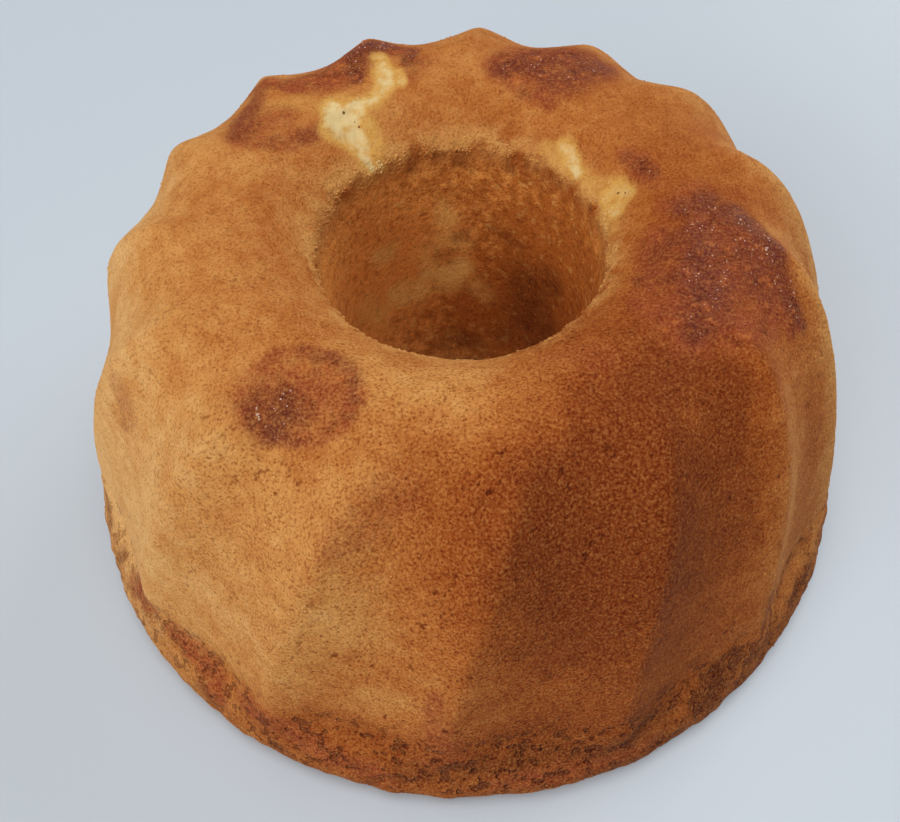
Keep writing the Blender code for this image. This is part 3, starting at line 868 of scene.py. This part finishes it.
class Shader:
    """Small helper that adds and joins nodes of one material."""

    def __init__(self, name):
        self.material = bpy.data.materials.new(name)
        self.material.use_nodes = True
        self.tree = self.material.node_tree
        self.principled = self.tree.nodes["Principled BSDF"]

    def add(self, kind):
        return self.tree.nodes.new(kind)

    def feed(self, node, name, value):
        """Joins a socket to this input of the node, or sets the input to a plain value."""
        if isinstance(value, bpy.types.NodeSocket):
            self.tree.links.new(value, node.inputs[name])
        else:
            node.inputs[name].default_value = value

    def finish_with(self, color, roughness, specular=0.5):
        self.feed(self.principled, "Base Color", color)
        self.feed(self.principled, "Roughness", roughness)
        self.feed(self.principled, "Specular IOR Level", specular)
        return self.material

    def math(self, operation, a, b, clamp=False):
        node = self.add("ShaderNodeMath")
        node.operation = operation
        node.use_clamp = clamp
        self.feed(node, 0, a)
        self.feed(node, 1, b)
        return node.outputs[0]

    def plus(self, a, b):
        return self.math("ADD", a, b)

    def minus(self, a, b, clamp=False):
        return self.math("SUBTRACT", a, b, clamp)

    def times(self, a, b, clamp=False):
        return self.math("MULTIPLY", a, b, clamp)

    def larger(self, a, b):
        return self.math("MAXIMUM", a, b)

    def ramp(self, value, low, high):
        """0 at low and 1 at high, smooth between."""
        node = self.add("ShaderNodeMapRange")
        node.interpolation_type = "SMOOTHSTEP"
        self.feed(node, "Value", value)
        self.feed(node, "From Min", low)
        self.feed(node, "From Max", high)
        return node.outputs["Result"]

    def mix(self, factor, a, b, blend="MIX"):
        node = self.add("ShaderNodeMix")
        node.data_type = "RGBA"
        node.blend_type = blend
        self.feed(node, 0, factor)
        self.feed(node, 6, a)
        self.feed(node, 7, b)
        return node.outputs[2]

    def color_ramp(self, value, stops):
        """Colour along evenly spread stops as the value goes from 0 to 1."""
        node = self.add("ShaderNodeValToRGB")
        ramp = node.color_ramp
        for _ in stops[2:]:
            ramp.elements.new(0.5)
        for k, stop in enumerate(stops):
            ramp.elements[k].position = k / (len(stops) - 1)
            ramp.elements[k].color = stop
        self.feed(node, "Fac", value)
        return node.outputs["Color"]

    def attribute(self, name):
        node = self.add("ShaderNodeAttribute")
        node.attribute_name = name
        return node.outputs["Fac"]

    def noise(self, scale, detail, rough):
        node = self.add("ShaderNodeTexNoise")
        self.feed(node, "Scale", scale)
        self.feed(node, "Detail", detail)
        self.feed(node, "Roughness", rough)
        self.feed(node, "Vector", self.add("ShaderNodeTexCoord").outputs["Object"])
        return node.outputs["Fac"]

    def swing(self, noise, amount):
        """A noise that swings about zero, scaled by amount."""
        return self.times(self.minus(self.noise(*noise), 0.5), amount)

    def blotchy(self, name, share, ragged):
        """A layer's value, made patchy by the noise and scaled by share."""
        patchy = self.times(self.attribute(name), self.plus(ragged, 0.95))
        return self.times(patchy, share, clamp=True)


def crust_tone(sh):
    """How brown the crust is, from its baking with its painted light and shade, wide clouds and finer
    mottling.
    """
    tone = sh.plus(sh.attribute("toast_and_shading"), sh.swing(CLOUDS, 0.55))
    return sh.plus(tone, sh.swing(MOTTLE, 0.35))


def hole_wall_color(sh, tone):
    """Mottled colour of the hole's wall, with soft shadows and pale places."""
    mottle = sh.plus(sh.noise(*HOLE_MOTTLE), sh.times(sh.minus(0.6, tone), 0.75))
    color = sh.mix(sh.ramp(mottle, 0.22, 0.66), HOLE_BROWN, HOLE_COLOR)
    # Painted shadows on the hole's wall, darkened with the scorch tint
    shadow = sh.times(sh.ramp(sh.noise(*HOLE_SHADOWS), 0.50, 0.36), 0.45)
    color = sh.mix(shadow, color, SCORCH_AND_SHADE, "MULTIPLY")
    pale = sh.times(sh.ramp(sh.noise(*HOLE_PALE), 0.55, 0.70), 0.35)
    return sh.mix(pale, color, PALE_COLOR)


def marked_color(sh, color, ragged):
    """Adds the base band, the rim with painted shade in its gaps, pale places, red-brown patches, and dark
    spots that are scorching in some places and painted shadow in others.
    """
    color = sh.mix(sh.blotchy("skirt", 0.48, ragged), color, SKIRT_COLOR)
    color = sh.mix(sh.blotchy("edge", 0.65, ragged), color, EDGE_COLOR)
    # Painted shade in the gaps of the rim
    color = sh.mix(sh.times(sh.attribute("notch_shade"), 0.8), color, NOTCH_SHADE_COLOR)
    color = sh.mix(sh.blotchy("pale", 0.80, ragged), color, PALE_COLOR)
    color = sh.mix(sh.blotchy("halo", 1.00, ragged), color, HALO_COLOR)
    # Dark spots: scorching, and painted shadows at the foot, in the hole and at the rim
    return sh.mix(sh.blotchy("dark", 1.00, ragged), color, DARK_COLOR)


def caramelised_color(sh, color, caramel, core):
    """Adds the caramel in the patches, their glowing and scorched flecks, and their dark cores."""
    color = sh.mix(caramel, color, CARAMEL_COLOR)
    patch = sh.larger(sh.attribute("halo"), sh.attribute("caramel"))
    glow = sh.times(sh.ramp(sh.noise(*PATCH_GLOW), 0.53, 0.68), sh.times(patch, 0.50))
    color = sh.mix(glow, color, GLOW_COLOR)
    scorch = sh.times(sh.ramp(sh.noise(*PATCH_SCORCH), 0.50, 0.36), sh.times(patch, 0.70))
    color = sh.mix(scorch, color, SCORCH_AND_SHADE, "MULTIPLY")
    return sh.mix(core, color, CORE_COLOR)


def torn_color(sh, color, ragged):
    """Adds the torn places: a yellow border round pale crumb."""
    edged = sh.times(sh.attribute("torn"), sh.plus(sh.times(ragged, 0.9), 1.0))
    color = sh.mix(sh.times(sh.ramp(edged, 0.02, 0.56), 0.88), color, BORDER_COLOR)
    return sh.mix(sh.times(sh.ramp(edged, 0.45, 0.98), 0.94), color, CRUMB_COLOR)


def grained_color(sh, color, tone, grain, coarse, crusty):
    """Adds pale flecks, partly painted glints, more on paler crust, dark grains, partly painted shade, and
    open pores darkened with painted shade, more on the coarse front.
    """
    rough_side = sh.times(sh.attribute("coarse"), crusty)
    # Pale flecks, partly painted glints on the grains
    fleck_and_glint = sh.times(sh.ramp(grain, 0.44, 0.82), rough_side)
    fleck_share = sh.plus(0.25, sh.times(sh.minus(1.0, tone, clamp=True), 0.25))
    color = sh.mix(sh.times(fleck_and_glint, fleck_share), color, PALE_FLECK_AND_GLINT)
    # Dark grains, partly painted shade between them
    color = sh.mix(sh.times(sh.ramp(grain, 0.50, 0.28), rough_side), color, DARK_GRAIN_AND_SHADE, "MULTIPLY")
    crowding = sh.plus(sh.noise(*PORE_CLUSTERS), sh.times(sh.attribute("pits"), 0.25))
    open_side = sh.minus(sh.times(rough_side, 1.6), 0.6, clamp=True)
    # Open pores, darkened with painted shade
    pore_shade = sh.times(sh.ramp(coarse, 0.41, 0.27), sh.ramp(crowding, 0.48, 0.68))
    return sh.mix(sh.times(pore_shade, open_side), color, OPEN_PORE_SHADE, "MULTIPLY")


def add_bump(sh, grain, coarse, pit, crusty):
    height = sh.times(sh.plus(sh.times(grain, 0.6), sh.times(coarse, 0.7)), crusty)
    bump = sh.add("ShaderNodeBump")
    sh.feed(bump, "Strength", 1.0)
    sh.feed(bump, "Distance", BUMP_DEPTH)
    sh.feed(bump, "Height", sh.minus(height, sh.times(pit, 1.2)))
    sh.feed(sh.principled, "Normal", bump.outputs["Normal"])


def crust_material():
    sh = Shader("baked_crust")
    grain = sh.noise(*GRAIN)
    coarse = sh.noise(*COARSE_GRAIN)
    ragged = sh.plus(sh.swing(RAGGED_FINE, 1.3), sh.swing(RAGGED_WIDE, 1.5))
    tone = crust_tone(sh)
    caramel = sh.blotchy("caramel", 1.00, ragged)
    core = sh.blotchy("core", 1.10, ragged)
    pit = sh.times(sh.ramp(sh.noise(*PIT_NOISE), 0.45, 0.37), sh.attribute("pitted"))
    crusty = sh.minus(1.0, sh.times(sh.attribute("torn"), 0.75), clamp=True)
    color = sh.color_ramp(tone, CRUST_COLORS)
    color = sh.mix(sh.attribute("inner"), color, hole_wall_color(sh, tone))
    color = marked_color(sh, color, ragged)
    color = caramelised_color(sh, color, caramel, core)
    # Painted shade in the pits of the base band
    color = sh.mix(sh.times(pit, 0.85), color, PIT_SHADE_COLOR)
    color = torn_color(sh, color, ragged)
    color = grained_color(sh, color, tone, grain, coarse, crusty)
    add_bump(sh, grain, coarse, pit, crusty)
    gloss = sh.larger(sh.times(caramel, 0.35), sh.times(core, 0.40))
    return sh.finish_with(color, sh.minus(CRUST_ROUGHNESS, gloss), CRUST_SPECULAR)


def crumb_material():
    """Crumbs take the colour of the crust they lie on, each a little browner or paler."""
    sh = Shader("baked_crumbs")
    tone = sh.plus(sh.attribute("toast_and_shading"), sh.times(sh.minus(sh.attribute("shade"), 0.6), 0.40))
    browned = sh.larger(sh.attribute("dark"), sh.attribute("caramel"))
    color = sh.color_ramp(sh.plus(tone, sh.times(browned, 0.5)), CRUST_COLORS)
    color = sh.mix(sh.times(sh.attribute("inner"), 0.6), color, HOLE_COLOR)
    color = sh.mix(sh.times(sh.attribute("halo"), 0.8), color, HALO_COLOR)
    color = sh.mix(sh.times(sh.attribute("edge"), 0.65), color, EDGE_COLOR)
    color = sh.mix(sh.ramp(sh.attribute("torn"), 0.2, 0.6), color, CRUMB_COLOR)
    color = sh.mix(sh.ramp(sh.attribute("specks"), 0.1, 0.3), color, SPECK_COLOR)
    return sh.finish_with(color, CRUMB_ROUGHNESS, CRUMB_SPECULAR)


def plain_material(name, color, roughness):
    return Shader(name).finish_with(color, roughness)


def make_object(name, mesh, material):
    mesh.materials.append(material)
    obj = bpy.data.objects.new(name, mesh)
    bpy.context.scene.collection.objects.link(obj)
    return obj


def turn_about(axis, angle):
    """Rotation matrix about an axis."""
    axis = np.array(axis) / np.linalg.norm(axis)
    k = np.array([[0.0, -axis[2], axis[1]], [axis[2], 0.0, -axis[0]], [-axis[1], axis[0], 0.0]])
    return np.eye(3) + math.sin(angle) * k + (1.0 - math.cos(angle)) * k @ k


def camera_matrix():
    """The camera looks at the cake from the front and above, then is panned, tilted and rolled a little."""
    back = np.array([0.0, -math.cos(CAMERA_ELEVATION), math.sin(CAMERA_ELEVATION)])
    place = CAMERA_DISTANCE * back + np.array([0.0, 0.0, AIM_HEIGHT])
    right = np.array([1.0, 0.0, 0.0])
    ahead = -back
    up = np.cross(right, ahead)
    pan = turn_about(up, CAMERA_PAN)
    right, ahead = pan @ right, pan @ ahead
    tilt = turn_about(right, CAMERA_TILT)
    ahead, up = tilt @ ahead, tilt @ up
    roll = turn_about(ahead, CAMERA_ROLL)
    right, up = roll @ right, roll @ up
    matrix = np.eye(4)
    matrix[:3] = np.column_stack([right, up, -ahead, place])
    return Matrix(matrix.tolist())


def add_camera():
    data = bpy.data.cameras.new("camera")
    data.lens = LENS
    data.sensor_width = SENSOR
    data.clip_start = NEAREST
    camera = bpy.data.objects.new("camera", data)
    bpy.context.scene.collection.objects.link(camera)
    camera.matrix_world = camera_matrix()
    bpy.context.scene.camera = camera


def add_light(name, azimuth, rise, power):
    """A wide soft light far away, seen from the cake at this azimuth and rise in degrees."""
    data = bpy.data.lights.new(name, "SUN")
    data.angle = math.radians(LIGHT_WIDTH)
    data.energy = power
    light = bpy.data.objects.new(name, data)
    bpy.context.scene.collection.objects.link(light)
    turn, up = math.radians(azimuth), math.radians(rise)
    toward = Vector((math.cos(turn) * math.cos(up), math.sin(turn) * math.cos(up), math.sin(up)))
    light.rotation_euler = toward.to_track_quat("Z", "Y").to_euler()


def add_world():
    world = bpy.data.worlds.new("studio")
    world.use_nodes = True
    background = world.node_tree.nodes["Background"]
    background.inputs["Color"].default_value = ROOM_COLOR
    background.inputs["Strength"].default_value = ROOM_LIGHT
    bpy.context.scene.world = world


def add_studio():
    """A plain pale floor just under the cake, pale room light and soft lights."""
    corners = [(x * FLOOR_REACH, y * FLOOR_REACH, 0.0) for x, y in [(-1, -1), (1, -1), (1, 1), (-1, 1)]]
    mesh = bpy.data.meshes.new("floor")
    mesh.from_pydata(corners, [], [(0, 1, 2, 3)])
    floor = make_object("floor", mesh, plain_material("floor", FLOOR_COLOR, FLOOR_ROUGHNESS))
    floor.location.z = -FLOOR_GAP
    add_world()
    for name, azimuth, rise, power in LIGHTS:
        add_light(name, azimuth, rise, power)


def main():
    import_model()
    crust = make_object("cake_crust", crust_mesh(), crust_material())
    crumbs = make_object("crumbs", crumb_mesh(), crumb_material())
    # Beads whose pale colour is a painted glint
    beads = make_object("syrup_glint_beads", bead_mesh(), plain_material("syrup_bead_glints", BEAD_GLINT_COLOR, BEAD_ROUGHNESS))
    for piece in (crust, crumbs, beads):
        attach(piece, "root")
    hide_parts("cake")
    add_camera()
    add_studio()
    bpy.context.scene.view_settings.view_transform = "Standard"


main()
